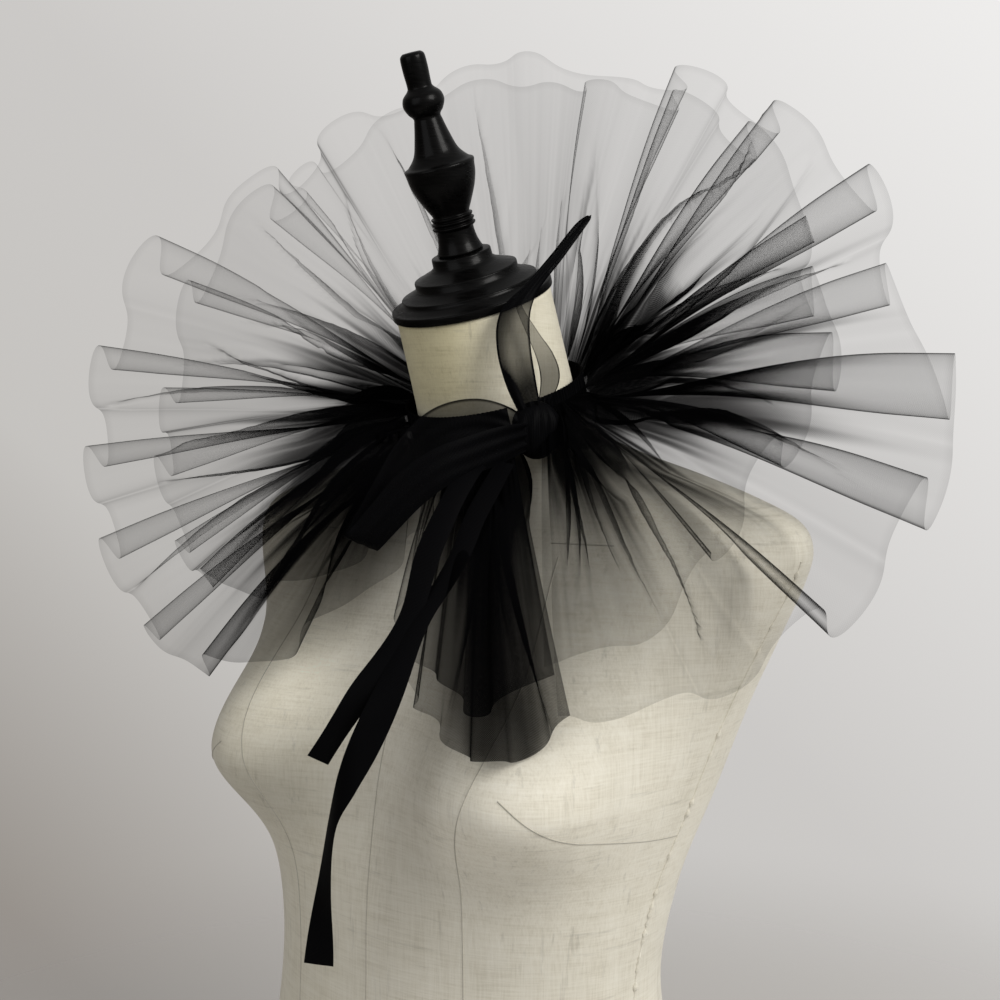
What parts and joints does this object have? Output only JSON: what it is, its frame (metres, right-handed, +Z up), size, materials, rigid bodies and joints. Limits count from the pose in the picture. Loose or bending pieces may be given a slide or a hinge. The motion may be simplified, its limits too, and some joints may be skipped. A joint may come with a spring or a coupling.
{
  "type": "gathered net neck ruff with ribbon bow, on a limbless dress form with a turned wooden neck cap",
  "caption": "Sheer gathered net ruff with two flounces and a ribbon bow, standing round the neck of a limbless dress form with a turned cap and finial.",
  "frame": {"origin": "middle of the dress form's flat underside, below the neck", "axes": "+Z up, -Y the way the form faces, +X the form's left"},
  "size_m": [0.4992, 0.3263, 0.7793],
  "materials": {
    "linen": "matt plain-weave linen",
    "wood": "satin black paint",
    "net": "sheer fine net with a slight sheen",
    "ribbon": "black organza and satin ribbon"
  },
  "bodies": {
    "root": {"form_torso": "linen", "neck_cap": "wood", "finial": "wood", "neck_band": "ribbon", "flounce_long": "net", "flounce_short": "net", "bow_knot": "ribbon", "bow_loop_low": "ribbon", "bow_loop_high": "ribbon", "ribbon_tail_short": "ribbon", "ribbon_tail_long": "ribbon"}
  },
  "joints": []
}
